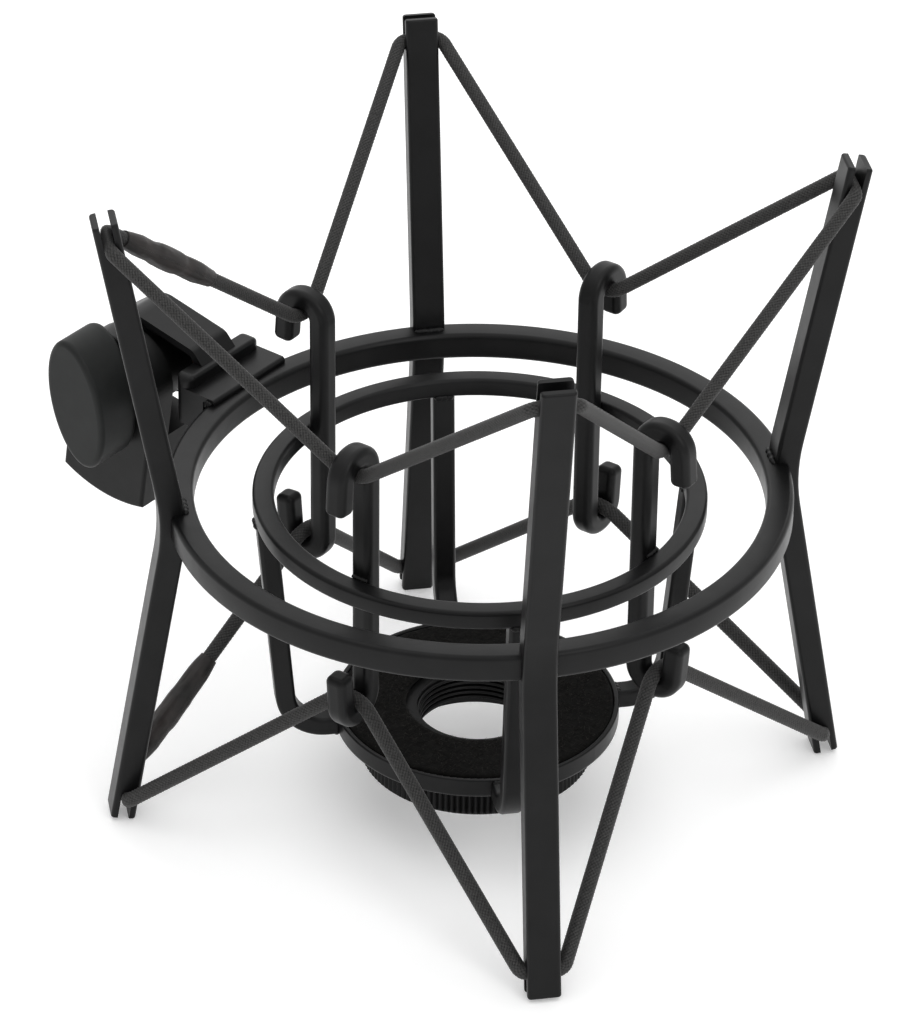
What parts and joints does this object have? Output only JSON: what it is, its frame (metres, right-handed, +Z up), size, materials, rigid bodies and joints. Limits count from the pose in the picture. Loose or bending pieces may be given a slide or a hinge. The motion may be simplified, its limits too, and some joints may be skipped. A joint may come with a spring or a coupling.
{
  "type": "microphone shock mount",
  "caption": "Spider suspension mount: a cradle with a threaded locking ring hangs in elastic cords inside a four-legged outer frame with a stand swivel.",
  "frame": {"origin": "centre of the microphone thread at its top face, in the locking ring", "axes": "+Z up along the microphone's axis, -X towards the stand swivel"},
  "size_m": [0.1692, 0.13, 0.1446],
  "materials": {
    "powder_black": "satin powder coat",
    "ring_black": "black oxide, knurled",
    "cast_black": "satin enamel on a casting",
    "bolt_black": "black oxide",
    "elastic_cord": "braided elastic cord",
    "shrink_tube": "semi-gloss heat-shrink tube",
    "felt": "needled felt",
    "fibre": "pressed fibre",
    "spring_steel": "bright spring steel",
    "knob_black": "fine satin moulding",
    "brass": "turned",
    "plated_steel": "zinc plated"
  },
  "bodies": {
    "frame": {"outer_ring": "powder_black", "leg_front_left": "powder_black", "leg_rear_left": "powder_black", "leg_rear_right": "powder_black", "leg_front_right": "powder_black", "upper_cord": "elastic_cord", "lower_cord": "elastic_cord", "upper_sleeve": "shrink_tube", "lower_sleeve": "shrink_tube", "ring_saddle": "powder_black", "swivel_yoke": "powder_black", "pivot_bolt": "bolt_black", "friction_washer": "fibre"},
    "cradle": {"inner_ring": "powder_black", "hook_bar_front": "powder_black", "hook_bar_left": "powder_black", "hook_bar_rear": "powder_black", "hook_bar_right": "powder_black", "cage_arm_front_left": "powder_black", "cage_arm_rear_left": "powder_black", "cage_arm_rear_right": "powder_black", "cage_arm_front_right": "powder_black", "base_plate": "powder_black", "felt_washer": "felt"},
    "locking_ring": {"locking_ring": "ring_black", "retaining_clip": "spring_steel"},
    "stand_socket": {"stand_socket": "cast_black"},
    "tension_knob": {"tension_knob": "knob_black", "knob_insert": "brass", "thrust_washer": "plated_steel"}
  },
  "joints": [
    {"name": "cradle_bounce", "type": "slide", "parent": "frame", "child": "cradle", "axis": [0, 0, 1], "range_m": [-0.006, 0.006], "stiffness_N_per_m": 1500, "springref_m": 0.0018, "deforming": ["upper_cord", "lower_cord", "upper_sleeve", "lower_sleeve"]},
    {"name": "locking_ring_turn", "type": "hinge", "parent": "cradle", "child": "locking_ring", "pos_m": [0, 0, 0], "axis": [0, 0, 1], "continuous": true},
    {"name": "stand_swivel", "type": "hinge", "parent": "frame", "child": "stand_socket", "pos_m": [-0.0885, 0.00417, 0.0532], "axis": [0.0471, 0.9989, 0], "range_deg": [-37, 116]},
    {"name": "knob_turn", "type": "hinge", "parent": "frame", "child": "tension_knob", "pos_m": [-0.0885, 0.00417, 0.0532], "axis": [-0.0471, -0.9989, 0], "continuous": true}
  ]
}
